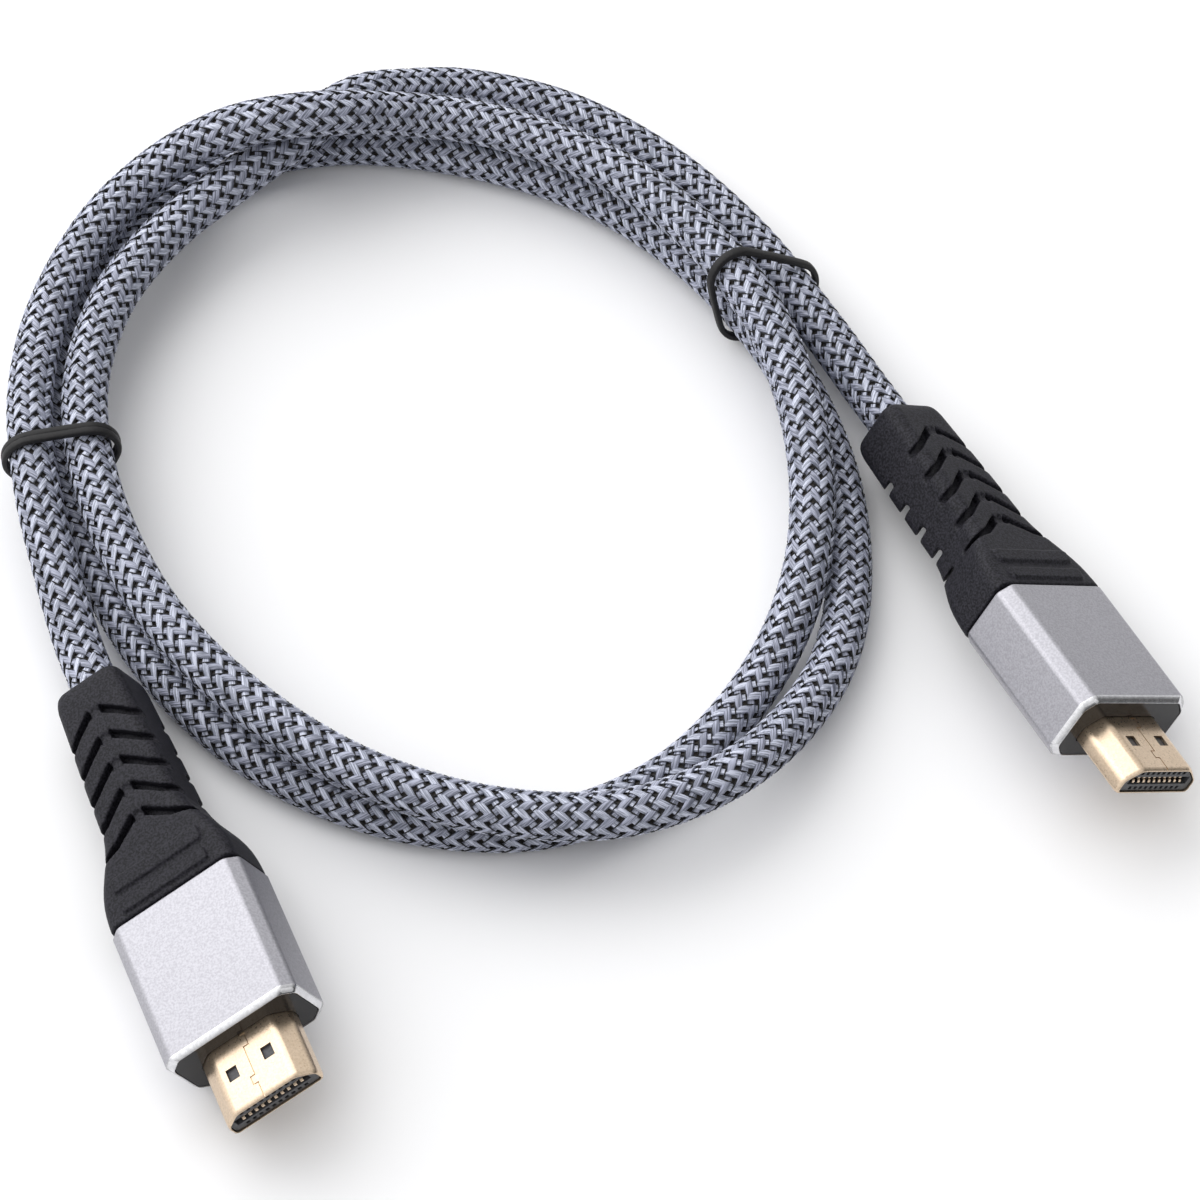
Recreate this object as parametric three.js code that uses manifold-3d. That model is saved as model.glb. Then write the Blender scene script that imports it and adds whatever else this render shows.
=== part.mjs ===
// Braided video cable with a type A plug on each end, lying in two loose turns held by two rubber ties.
// Millimetres, +Z up, the cable lies on z = 0. Each plug has its own frame: +X to the tip, +Y right, +Z up.
import * as THREE from "three";
import { mergeVertices } from "three/addons/utils/BufferGeometryUtils.js";
import Module from "manifold-3d";

const wasm = await Module();
wasm.setup();

// Cable
const cableDiameter = 6.6;
const cableSides = 12;
const cableSteps = 80;
const clearance = 0.3; // between pieces that touch on the real cable

// Aluminium sleeve around each plug body
const sleeveLength = 20.9;
const sleeveWidth = 20.3;
const sleeveHeight = 10.9;
const sleeveChamfer = 1.6;
const sleeveWall = 1.0;
const sleeveRim = 0.45; // polished cut round the front edge

// Glossy plate inside the mouth of the sleeve
const plateThickness = 1.2;
const plateRecess = 0.4;

// Gold plated connector shell
const shellLength = 10.45; // in front of the sleeve
const shellWidth = 13.9;
const shellHeight = 4.45;
const shellNarrowWidth = 9.5;
const shellSlopeHeight = 2.1;
const shellCorner = 0.45;
const shellWall = 0.35;
const windowLength = 1.8;
const windowWidth = 1.6;
const windowFromTip = 5.3;
const windowSpacing = 5.4;

// Black insulator in the shell, with the slot that takes the socket's tongue
const insulatorGap = 0.15;
const insulatorRecess = 0.35;
const slotWidth = 11.2;
const slotHeight = 1.3;
const slotDepth = 7.6;
const contactPitch = 1.0;
const upperContacts = 9;
const lowerContacts = 10;
const grooveWidth = 0.62;
const grooveDepth = 0.55;
const contactWidth = 0.36;
const contactThickness = 0.3;
const contactSetback = 0.7; // from the front of the insulator
const contactGap = 0.1;

// Moulded boot: collar, slotted neck, flared grip, and the body that fills the sleeve
const bootLength = 36.8; // behind the sleeve
const collarHalfWidth = 5.4;
const collarHalfHeight = 4.6;
const neckHalfWidth = 6.1;
const neckHalfHeight = 4.8;
const gripInset = 0.25; // grip stands this far inside the sleeve's outline
const bootRounding = 0.35; // share of the half height that each corner takes
const ventCount = 5;
const ventPitch = 4.35;
const ventWidth = 1.45;
const ventDepth = 1.7;
const ventFromRear = 5.2;
const ventSweep = 0.68; // how far an arm runs to the plug for each millimetre outwards
const postWidth = 1.7;
const postRecess = 0.45;
const barLength = 12.6;
const barWidth = 2.2;
const barHeight = 0.3;
const barFromSleeve = [2.7, 6.2];

// Rubber ties
const tieThickness = 0.9;
const tieEdge = 0.2;
const tieTurnStep = 0.3; // radians between the points of a bend
const tieReach = 16; // how far from its place a tie looks for strands to hold
const leftRibWidth = 1.0;
const leftRibPitch = 0.9;
const rightTieWidth = 1.25;
const ties = {
  left: { at: [-70.6, 15.5, 0], yaw: 9, lean: 0.1 },
  right: { at: [23.9, 40.5, 0], yaw: 27, lean: 0.25 },
};

// The route of the cable's middle, from the boot of the left plug to the boot of the right plug
const plugs = [
  { name: "left", at: [-44.4, -73.6, 9.7], azimuth: -69, pitch: 3, roll: 25.7 },
  { name: "right", at: [69.3, -31.6, 10.82], azimuth: -62.9, pitch: 3.9, roll: -35.6 },
];
const route = [
  [-68, -12.1, 6.4], [-71.2, -1, 8.6], [-74, 11, 10.4], [-75.5, 26, 10.3], [-73.5, 41, 9.8],
  [-67.5, 55, 10], [-61.8, 61.5, 11.2], [-55, 65.5, 13.7], [-48, 67.2, 16.4], [-40.5, 68.2, 17.4],
  [-33.5, 69.8, 16], [-27, 72, 12.8], [-20, 73, 10.5], [-10.5, 71, 10.2], [6.8, 61.6, 10.5],
  [19, 48, 11.3], [27, 32.5, 11.2], [31, 14, 9.9], [30, -3, 7.2], [23.8, -17.8, 4.2],
  [11, -32.8, 3.4], [-5, -40, 3.4], [-23, -39, 3.4], [-40, -31.5, 3.4], [-54, -18.7, 3.4],
  [-64.5, -2, 3.8], [-70.8, 16, 4.6], [-71.5, 35, 3.8], [-65, 54.5, 3.4], [-53, 69, 3.4],
  [-36, 74.2, 3.4], [-17, 71.9, 3.4], [2, 64, 3.5], [17.5, 49.7, 4.5], [29, 31.5, 4.5],
  [35.2, 12, 3.4], [35, -9, 3.6], [30.5, -21.8, 5], [19.5, -36, 9.2], [5, -42.7, 10.4],
  [-12, -42, 10.4], [-29, -35.7, 10.2], [-44.5, -24.2, 9.9], [-57, -9.5, 10], [-65, 8, 10.5],
  [-68, 26, 10.4], [-64.8, 42.5, 9.8], [-57, 55, 9.5], [-48.8, 62.5, 9.8], [-41.5, 68.5, 10.4],
  [-35.5, 73.8, 10.6], [-30, 78.2, 9.3], [-24, 81, 6.6], [-16, 82.6, 4.4], [-2, 79, 3.5],
  [12, 69.2, 3.6], [24, 54.8, 4.6], [33.8, 37.8, 5.6], [39.6, 26.6, 6.1],
];

// Materials
const finish = (color, roughness, metalness) => new THREE.MeshStandardMaterial({ color, roughness, metalness });
const braid = finish(0x8d8f9c, 0.8, 0);
const rubber = finish(0x17171a, 0.7, 0);
const bootPlastic = finish(0x2b2b30, 0.75, 0);
const aluminium = finish(0xb9b8c2, 0.4, 0.9);
const glossPlastic = finish(0x101013, 0.2, 0);
const gold = finish(0xd9b98a, 0.25, 1);

// Closed solids in and out of the boolean library
function toSolid(geometry) {
  const plain = geometry.index ? geometry.toNonIndexed() : geometry.clone();
  plain.deleteAttribute("normal");
  plain.deleteAttribute("uv");
  const welded = mergeVertices(plain, 1e-5);
  return new wasm.Manifold(new wasm.Mesh({
    numProp: 3,
    vertProperties: new Float32Array(welded.attributes.position.array),
    triVerts: new Uint32Array(welded.index.array),
  }));
}

function toGeometry(solid) {
  const mesh = solid.getMesh();
  const geometry = new THREE.BufferGeometry();
  geometry.setAttribute("position", new THREE.BufferAttribute(mesh.vertProperties, 3));
  geometry.setIndex(new THREE.BufferAttribute(mesh.triVerts, 1));
  geometry.computeVertexNormals();
  return geometry;
}

// A flat outline in (y, z), pushed along X from one place to another
function alongX(outline, from, to, hole) {
  const shape = new THREE.Shape(outline);
  if (hole) shape.holes.push(new THREE.Path(hole));
  const geometry = new THREE.ExtrudeGeometry(shape, { depth: to - from, bevelEnabled: false });
  const turn = new THREE.Matrix4().makeBasis(
    new THREE.Vector3(0, 1, 0), new THREE.Vector3(0, 0, 1), new THREE.Vector3(1, 0, 0));
  return geometry.applyMatrix4(turn).translate(from, 0, 0);
}

function chamferedRectangle(width, height, cut) {
  const y = width / 2;
  const z = height / 2;
  return [
    [y - cut, -z], [y, -z + cut], [y, z - cut], [y - cut, z],
    [-y + cut, z], [-y, z - cut], [-y, -z + cut], [-y + cut, -z],
  ].map(([a, b]) => new THREE.Vector2(a, b));
}

// The same convex outline, moved inwards by a distance
function inset(outline, distance) {
  const count = outline.length;
  const lines = outline.map((point, i) => {
    const along = outline[(i + 1) % count].clone().sub(point).normalize();
    const inward = new THREE.Vector2(-along.y, along.x);
    return { start: point.clone().addScaledVector(inward, distance), along };
  });
  return lines.map((line, i) => {
    const before = lines[(i + count - 1) % count];
    const gap = line.start.clone().sub(before.start);
    const reach = gap.cross(line.along) / before.along.cross(line.along);
    return before.start.clone().addScaledVector(before.along, reach);
  });
}

// A closed body through rings of points, each ring at its own x
function loft(rings) {
  const sides = rings[0].points.length;
  const positions = [];
  for (const ring of rings) for (const p of ring.points) positions.push(ring.x, p.x, p.y);
  const index = [];
  for (let r = 0; r + 1 < rings.length; r++) {
    for (let s = 0; s < sides; s++) {
      const a = r * sides + s;
      const b = r * sides + ((s + 1) % sides);
      index.push(a, b, a + sides, b, b + sides, a + sides);
    }
  }
  const last = (rings.length - 1) * sides;
  for (let s = 1; s + 1 < sides; s++) {
    index.push(0, s + 1, s);
    index.push(last, last + s, last + s + 1);
  }
  const geometry = new THREE.BufferGeometry();
  geometry.setAttribute("position", new THREE.BufferAttribute(new Float32Array(positions), 3));
  geometry.setIndex(index);
  return geometry;
}

// Outline with rounded corners, four points to a corner
function roundedOutline(halfWidth, halfHeight, radius) {
  const corners = [[1, -1, -90], [1, 1, 0], [-1, 1, 90], [-1, -1, 180]];
  const points = [];
  for (const [sy, sz, start] of corners) {
    for (let i = 0; i < 4; i++) {
      const angle = THREE.MathUtils.degToRad(start + i * 30);
      points.push(new THREE.Vector2(
        sy * (halfWidth - radius) + radius * Math.cos(angle),
        sz * (halfHeight - radius) + radius * Math.sin(angle)));
    }
  }
  return points;
}

const sleeveOutline = chamferedRectangle(sleeveWidth, sleeveHeight, sleeveChamfer);
const boreOutline = inset(sleeveOutline, sleeveWall);
const bodyOutline = inset(boreOutline, clearance);

const shellOutline = [
  [shellWidth / 2 - shellCorner, -shellHeight / 2], [shellWidth / 2, -shellHeight / 2 + shellCorner],
  [shellWidth / 2, shellHeight / 2 - shellSlopeHeight], [shellNarrowWidth / 2, shellHeight / 2],
  [-shellNarrowWidth / 2, shellHeight / 2], [-shellWidth / 2, shellHeight / 2 - shellSlopeHeight],
  [-shellWidth / 2, -shellHeight / 2 + shellCorner], [-shellWidth / 2 + shellCorner, -shellHeight / 2],
].map(([a, b]) => new THREE.Vector2(a, b));

const plateBack = -plateRecess - plateThickness;
const bodyFront = plateBack - clearance;
const insulatorFront = shellLength - insulatorRecess;

function makeSleeve() {
  const outer = loft([
    { x: -sleeveLength, points: sleeveOutline },
    { x: -sleeveRim, points: sleeveOutline },
    { x: 0, points: inset(sleeveOutline, sleeveRim) },
  ]);
  const bore = alongX(boreOutline, -sleeveLength - 1, 1);
  return toGeometry(toSolid(outer).subtract(toSolid(bore)));
}

function makeFacePlate() {
  return alongX(bodyOutline, plateBack, -plateRecess, inset(shellOutline, -clearance));
}

function makeShell() {
  let solid = toSolid(alongX(shellOutline, plateBack, shellLength, inset(shellOutline, shellWall)));
  for (const side of [-1, 1]) {
    const cutter = new THREE.BoxGeometry(windowLength, windowWidth, shellWall * 3);
    cutter.translate(shellLength - windowFromTip, side * windowSpacing / 2, shellHeight / 2);
    solid = solid.subtract(toSolid(cutter));
  }
  return toGeometry(solid);
}

// Where each contact lies across the plug, and which way its groove faces
function contactPlaces() {
  const row = (count, side, label) => Array.from({ length: count }, (_, i) => (
    { y: (i - (count - 1) / 2) * contactPitch, side, name: `${label}_${i + 1}` }));
  return [...row(upperContacts, 1, "upper"), ...row(lowerContacts, -1, "lower")];
}

function makeInsulator() {
  const outline = inset(shellOutline, shellWall + insulatorGap);
  let solid = toSolid(alongX(outline, plateBack, insulatorFront));
  const middle = insulatorFront - slotDepth / 2;
  const slot = new THREE.BoxGeometry(slotDepth + 1, slotWidth, slotHeight).translate(middle + 0.5, 0, 0);
  solid = solid.subtract(toSolid(slot));
  for (const place of contactPlaces()) {
    const groove = new THREE.BoxGeometry(slotDepth + 1, grooveWidth, grooveDepth + slotHeight / 2);
    groove.translate(middle + 0.5, place.y, place.side * (grooveDepth + slotHeight / 2) / 2);
    solid = solid.subtract(toSolid(groove));
  }
  return toGeometry(solid);
}

// A flat spring with a rounded nose, lying in its groove
function makeContact(place) {
  const back = insulatorFront - slotDepth + contactGap;
  const nose = insulatorFront - contactSetback;
  const floor = slotHeight / 2 + grooveDepth - contactGap;
  const top = floor - contactThickness;
  const profile = [
    [back, floor], [nose - 0.9, floor], [nose - 0.3, floor], [nose, floor - 0.12],
    [nose, top + 0.1], [nose - 0.4, top - 0.06], [nose - 1.4, top - 0.06], [nose - 2.2, top], [back, top],
  ].map(([x, z]) => new THREE.Vector2(x, place.side * z));
  const shape = new THREE.Shape(profile);
  const geometry = new THREE.ExtrudeGeometry(shape, { depth: contactWidth, bevelEnabled: false });
  return geometry.rotateX(Math.PI / 2).translate(0, place.y + contactWidth / 2, 0);
}

const bootRear = -sleeveLength - bootLength;
const ventX = (i) => bootRear + ventFromRear + i * ventPitch;

function bootSection(x, halfWidth, halfHeight) {
  return { x, points: roundedOutline(halfWidth, halfHeight, halfHeight * bootRounding) };
}

function makeBoot() {
  const gripWidth = sleeveWidth / 2 - gripInset;
  const gripHeight = sleeveHeight / 2 - gripInset;
  const neckEnd = ventX(ventCount - 1) + ventWidth / 2;
  const flare = -sleeveLength - neckEnd;
  const between = (from, to, share) => from + (to - from) * share;
  const rings = [
    bootSection(bootRear, collarHalfWidth - 0.5, collarHalfHeight - 0.5),
    bootSection(bootRear + 0.5, collarHalfWidth, collarHalfHeight),
    bootSection(neckEnd - ventPitch, neckHalfWidth - 0.1, neckHalfHeight),
    bootSection(neckEnd, neckHalfWidth, neckHalfHeight),
  ];
  for (const [along, wide] of [[0.1, 0.12], [0.45, 0.62], [0.6, 0.82], [0.75, 0.94], [0.88, 0.99], [1, 1]]) {
    rings.push(bootSection(neckEnd + flare * along,
      between(neckHalfWidth, gripWidth, wide), between(neckHalfHeight, gripHeight, along)));
  }
  let solid = toSolid(loft(rings));
  solid = solid.add(toSolid(alongX(bodyOutline, -sleeveLength - 1, bodyFront)));
  solid = solid.subtract(toSolid(alongX(inset(sleeveOutline, -1), -sleeveLength - clearance, -sleeveLength + 0.01)
  ).subtract(toSolid(alongX(bodyOutline, -sleeveLength - 1, bodyFront))));
  for (let i = 0; i < ventCount; i++) solid = solid.subtract(ventPair(ventX(i)));
  for (const distance of barFromSleeve) {
    const bar = new THREE.BoxGeometry(barWidth, barLength, barHeight * 4);
    bar.translate(-sleeveLength - distance, 0, gripBarTop(distance) - barHeight);
    solid = solid.add(toSolid(bar));
  }
  return toGeometry(solid);
}

// Height of the top of a grip bar, a little over the grip it stands on
function gripBarTop(distance) {
  const neckEnd = ventX(ventCount - 1) + ventWidth / 2;
  const flare = -sleeveLength - neckEnd;
  const share = 1 - distance / flare;
  const grip = sleeveHeight / 2 - gripInset;
  return neckHalfHeight + (grip - neckHalfHeight) * share;
}

// The chevron slot over the top and the one under the bottom, each with a post left in its middle
function ventPair(x) {
  const reach = neckHalfWidth + 2;
  const arm = (side) => {
    const start = postWidth / 2;
    const a = x + start * ventSweep;
    const b = x + reach * ventSweep;
    const points = [
      [a - ventWidth / 2, side * start], [b - ventWidth / 2, side * reach],
      [b + ventWidth / 2, side * reach], [a + ventWidth / 2, side * start],
    ].map(([px, py]) => new THREE.Vector2(px, py));
    return toSolid(new THREE.ExtrudeGeometry(new THREE.Shape(points), { depth: ventDepth + 2, bevelEnabled: false }));
  };
  const post = [
    [x - ventWidth / 2, 0], [x + postWidth / 2 * ventSweep - ventWidth / 2, -postWidth / 2],
    [x + postWidth / 2 * ventSweep + ventWidth / 2, -postWidth / 2], [x + ventWidth / 2, 0],
    [x + postWidth / 2 * ventSweep + ventWidth / 2, postWidth / 2],
    [x + postWidth / 2 * ventSweep - ventWidth / 2, postWidth / 2],
  ].map(([px, py]) => new THREE.Vector2(px, py));
  const recess = toSolid(new THREE.ExtrudeGeometry(new THREE.Shape(post), { depth: 2, bevelEnabled: false }));
  const arms = arm(1).add(arm(-1));
  const above = arms.translate([0, 0, neckHalfHeight - ventDepth]).add(
    recess.translate([0, 0, neckHalfHeight - postRecess]));
  return above.add(above.mirror([0, 0, 1]));
}

function addMesh(group, name, geometry, material) {
  const mesh = new THREE.Mesh(geometry, material);
  mesh.name = name;
  group.add(mesh);
}

function makePlug(plug) {
  const group = new THREE.Group();
  addMesh(group, `${plug.name}_boot`, makeBoot(), bootPlastic);
  addMesh(group, `${plug.name}_sleeve`, makeSleeve(), aluminium);
  addMesh(group, `${plug.name}_face_plate`, makeFacePlate(), glossPlastic);
  addMesh(group, `${plug.name}_connector_shell`, makeShell(), gold);
  addMesh(group, `${plug.name}_insulator`, makeInsulator(), glossPlastic);
  for (const place of contactPlaces()) {
    addMesh(group, `${plug.name}_contact_${place.name}`, makeContact(place), gold);
  }
  const [roll, pitch, azimuth] = [plug.roll, plug.pitch, plug.azimuth].map(THREE.MathUtils.degToRad);
  group.position.set(...plug.at);
  group.rotation.set(roll, -pitch, azimuth, "ZYX");
  group.updateMatrixWorld(true);
  return group;
}

// The line through the cable's middle; it starts and ends a clearance behind the two boots
function cableLine(leftPlug, rightPlug) {
  const end = (plug) => new THREE.Vector3(bootRear - clearance, 0, 0).applyMatrix4(plug.matrixWorld);
  const points = [end(leftPlug), ...route.map((p) => new THREE.Vector3(...p)), end(rightPlug)];
  return new THREE.CatmullRomCurve3(points);
}

function makeCable(line) {
  const section = new THREE.Shape();
  for (let i = 0; i < cableSides; i++) {
    const angle = (i + 0.5) / cableSides * 2 * Math.PI;
    section[i ? "lineTo" : "moveTo"](cableDiameter / 2 * Math.cos(angle), cableDiameter / 2 * Math.sin(angle));
  }
  return new THREE.ExtrudeGeometry(section, { steps: cableSteps, extrudePath: line, bevelEnabled: false });
}

// A tie's plane: +X across the strands, +Y up and leaning along them, +Z along them
function tiePlane(tie) {
  const angle = THREE.MathUtils.degToRad(tie.yaw);
  const across = new THREE.Vector3(Math.cos(angle), Math.sin(angle), 0);
  const along = new THREE.Vector3(Math.sin(angle), -Math.cos(angle), 0);
  const up = new THREE.Vector3(0, 0, 1).addScaledVector(along, -tie.lean);
  return new THREE.Matrix4().makeBasis(across, up, along).setPosition(...tie.at);
}

// Where the cable's middle crosses a tie's plane, in turn round the bundle
function strandsIn(plane, line) {
  const toPlane = plane.clone().invert();
  const points = line.getSpacedPoints(cableSteps).map((p) => p.applyMatrix4(toPlane));
  const strands = [];
  for (let i = 1; i < points.length; i++) {
    const [a, b] = [points[i - 1], points[i]];
    if (a.z * b.z > 0) continue;
    const crossing = a.clone().lerp(b, a.z / (a.z - b.z));
    if (Math.abs(crossing.x) < tieReach) strands.push(new THREE.Vector2(crossing.x, crossing.y));
  }
  const middle = new THREE.Vector2();
  for (const strand of strands) middle.addScaledVector(strand, 1 / strands.length);
  return strands.sort((a, b) => a.clone().sub(middle).angle() - b.clone().sub(middle).angle());
}

// The outline of a band pulled round the strands at a distance from their middles
function bandOutline(strands, radius) {
  const points = [];
  strands.forEach((strand, i) => {
    const before = strands[(i + strands.length - 1) % strands.length];
    const after = strands[(i + 1) % strands.length];
    const start = strand.clone().sub(before).angle() - Math.PI / 2;
    const end = after.clone().sub(strand).angle() - Math.PI / 2;
    const sweep = THREE.MathUtils.euclideanModulo(end - start, 2 * Math.PI);
    const count = Math.max(2, Math.round(sweep / tieTurnStep));
    for (let k = 0; k <= count; k++) {
      const angle = start + sweep * k / count;
      points.push(new THREE.Vector2(Math.cos(angle), Math.sin(angle)).multiplyScalar(radius).add(strand));
    }
  });
  return points;
}

// One ring of a tie in its own plane, centred on the plane, its edges cut
function tieRing(strands, width) {
  const inner = cableDiameter / 2 + clearance + tieEdge;
  const shape = new THREE.Shape(bandOutline(strands, inner + tieThickness - 2 * tieEdge));
  shape.holes.push(new THREE.Path(bandOutline(strands, inner)));
  return new THREE.ExtrudeGeometry(shape, {
    depth: width - 2 * tieEdge, bevelThickness: tieEdge, bevelSize: tieEdge, bevelSegments: 1,
  }).translate(0, 0, tieEdge - width / 2);
}

function makeTie(tie, line, width, places) {
  const plane = tiePlane(tie);
  const ring = toSolid(tieRing(strandsIn(plane, line), width));
  let solid = ring.translate([0, 0, places[0]]);
  for (const place of places.slice(1)) solid = solid.add(ring.translate([0, 0, place]));
  return toGeometry(solid).applyMatrix4(plane);
}

const [leftPlug, rightPlug] = plugs.map(makePlug);
const line = cableLine(leftPlug, rightPlug);
const cable = new THREE.Group();
cable.add(leftPlug, rightPlug);
addMesh(cable, "cable", makeCable(line), braid);
addMesh(cable, "left_tie", makeTie(ties.left, line, leftRibWidth, [-leftRibPitch / 2, leftRibPitch / 2]), rubber);
addMesh(cable, "right_tie", makeTie(ties.right, line, rightTieWidth, [0]), rubber);

export default cable;
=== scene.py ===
# Braided video cable with a type A plug on each end, in two loose turns with a rubber tie on each side.
# Sizes are in millimetres in the dictionaries and in metres in the meshes.
import math
import bmesh
import bpy
from mathutils import Matrix, Vector


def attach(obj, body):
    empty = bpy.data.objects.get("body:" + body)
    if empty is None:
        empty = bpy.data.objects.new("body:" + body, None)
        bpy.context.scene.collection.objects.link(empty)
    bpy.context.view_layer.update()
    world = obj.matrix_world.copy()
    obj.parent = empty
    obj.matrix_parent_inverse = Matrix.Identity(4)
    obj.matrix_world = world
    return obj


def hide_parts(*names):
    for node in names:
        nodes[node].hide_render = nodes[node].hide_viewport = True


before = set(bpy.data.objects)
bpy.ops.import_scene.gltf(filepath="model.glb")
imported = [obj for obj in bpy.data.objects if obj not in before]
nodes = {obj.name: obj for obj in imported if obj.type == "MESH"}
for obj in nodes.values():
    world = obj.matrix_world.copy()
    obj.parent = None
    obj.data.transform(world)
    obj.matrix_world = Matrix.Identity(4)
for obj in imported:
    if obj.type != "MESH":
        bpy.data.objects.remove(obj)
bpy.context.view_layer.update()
mm = 0.001
print("frame loaded:", len(nodes), "nodes")

# Camera and light

camera = {
    "place": (2.0, -373.2, 570.1),
    "tilt": 33.0,  # degrees up from straight down
    "roll": -1.5,
    "lens": 150.0,
    "sensor": 36.0,
}

cameraData = bpy.data.cameras.new("camera")
cameraData.lens = camera["lens"]
cameraData.sensor_width = camera["sensor"]
cameraData.clip_start = 0.01
cameraObject = bpy.data.objects.new("camera", cameraData)
cameraObject.rotation_mode = "ZYX"
cameraObject.location = Vector(camera["place"]) * mm
cameraObject.rotation_euler = (math.radians(camera["tilt"]), 0, math.radians(camera["roll"]))
bpy.context.scene.collection.objects.link(cameraObject)
bpy.context.scene.camera = cameraObject

studio = {
    "floorSize": 3000.0,
    "floorColour": (0.92, 0.92, 0.93, 1),
    "skyFrom": (-0.75, 0.45, 0.5),  # the sky is brightest on this side
    "skyStrength": (0.12, 1.7),  # away from it and towards it
    "skyEdge": -0.4,  # how far round the sky fades, as a cosine
    "lamps": [
        # name, place, size, power in watts
        ("keyLamp", (-420.0, 420.0, 560.0), 900.0, 3.0),
        ("fillLamp", (500.0, -200.0, 500.0), 500.0, 0.4),
    ],
}


def addLamp(name, place, size, power):
    data = bpy.data.lights.new(name, "AREA")
    data.size = size * mm
    data.energy = power
    lamp = bpy.data.objects.new(name, data)
    lamp.location = Vector(place) * mm
    lamp.rotation_mode = "QUATERNION"
    lamp.rotation_quaternion = (-lamp.location).to_track_quat("-Z", "Y")
    bpy.context.scene.collection.objects.link(lamp)


for lampValues in studio["lamps"]:
    addLamp(*lampValues)

world = bpy.data.worlds.new("studio")
world.use_nodes = True
sky = world.node_tree.nodes["Background"]
skyPlace = world.node_tree.nodes.new("ShaderNodeTexCoord")
skySide = world.node_tree.nodes.new("ShaderNodeVectorMath")
skySide.operation = "DOT_PRODUCT"
skySide.inputs[1].default_value = Vector(studio["skyFrom"]).normalized()
skyRange = world.node_tree.nodes.new("ShaderNodeMapRange")
skyRange.inputs["From Min"].default_value = studio["skyEdge"]
skyRange.inputs["To Min"].default_value = studio["skyStrength"][0]
skyRange.inputs["To Max"].default_value = studio["skyStrength"][1]
world.node_tree.links.new(skyPlace.outputs["Generated"], skySide.inputs[0])
world.node_tree.links.new(skySide.outputs["Value"], skyRange.inputs["Value"])
world.node_tree.links.new(skyRange.outputs["Result"], sky.inputs["Strength"])
sky.inputs["Color"].default_value = (1, 1, 1, 1)
bpy.context.scene.world = world
bpy.context.scene.view_settings.view_transform = "Standard"


# Helpers for materials and meshes

def newMaterial(name, **values):
    material = bpy.data.materials.new(name)
    material.use_nodes = True
    shader = material.node_tree.nodes["Principled BSDF"]
    for key, value in values.items():
        shader.inputs[key].default_value = value
    return material, shader


def addNode(material, kind, label="", **values):
    node = material.node_tree.nodes.new(kind)
    node.label = label
    for key, value in values.items():
        if hasattr(node, key):
            setattr(node, key, value)
        else:
            node.inputs[key].default_value = value
    return node


def link(material, start, end):
    material.node_tree.links.new(start, end)


def newPiece(name, mesh, materials):
    piece = bpy.data.objects.new(name, mesh)
    bpy.context.scene.collection.objects.link(piece)
    for material in materials:
        mesh.materials.append(material)
    return piece


def newMesh(name, bm):
    mesh = bpy.data.meshes.new(name)
    bm.to_mesh(mesh)
    bm.free()
    return mesh


def bakeModifiers(piece):
    # the modifiers' result becomes the piece's own mesh
    graph = bpy.context.evaluated_depsgraph_get()
    result = bpy.data.meshes.new_from_object(piece.evaluated_get(graph))
    piece.modifiers.clear()
    piece.data = result
    return piece


def drafted(name, mesh, *modifiers):
    # a mesh after its modifiers, each given as its kind and its settings
    draft = bpy.data.objects.new(name, mesh)
    bpy.context.scene.collection.objects.link(draft)
    for kind, settings in modifiers:
        modifier = draft.modifiers.new(kind.lower(), kind)
        for key, value in settings.items():
            setattr(modifier, key, value)
    result = bakeModifiers(draft).data
    bpy.data.objects.remove(draft)
    return result


sharpEdges = {"limit_method": "ANGLE", "angle_limit": math.radians(40)}


def cutter(name, bm):
    tool = bpy.data.objects.new(name, newMesh(name, bm))
    bpy.context.scene.collection.objects.link(tool)
    return tool


def smoothExcept(mesh, degrees):
    mesh.shade_smooth()
    mesh.set_sharp_from_angle(angle=math.radians(degrees))


# Floor

floorMaterial, floorShader = newMaterial("paleFloor", Roughness=0.9)
floorShader.inputs["Base Color"].default_value = studio["floorColour"]
bm = bmesh.new()
bmesh.ops.create_grid(bm, x_segments=1, y_segments=1, size=studio["floorSize"] * mm / 2)
floorMesh = newMesh("floor", bm)
floor = bpy.data.objects.new("floor", floorMesh)
floorMesh.materials.append(floorMaterial)
bpy.context.scene.collection.objects.link(floor)

# Plugs: where each lies, in degrees; its own frame has +X to the tip, +Y right and +Z up

plugs = {
    "left": {"at": (-44.4, -73.6, 9.7), "azimuth": -69.0, "pitch": 3.0, "roll": 25.7},
    "right": {"at": (69.3, -31.6, 10.82), "azimuth": -62.9, "pitch": 3.9, "roll": -35.6},
}


def plugMatrix(plug):
    turnZ = Matrix.Rotation(math.radians(plug["azimuth"]), 4, "Z")
    turnY = Matrix.Rotation(math.radians(-plug["pitch"]), 4, "Y")
    turnX = Matrix.Rotation(math.radians(plug["roll"]), 4, "X")
    return Matrix.Translation(plug["at"]) @ turnZ @ turnY @ turnX


# Cable

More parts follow.
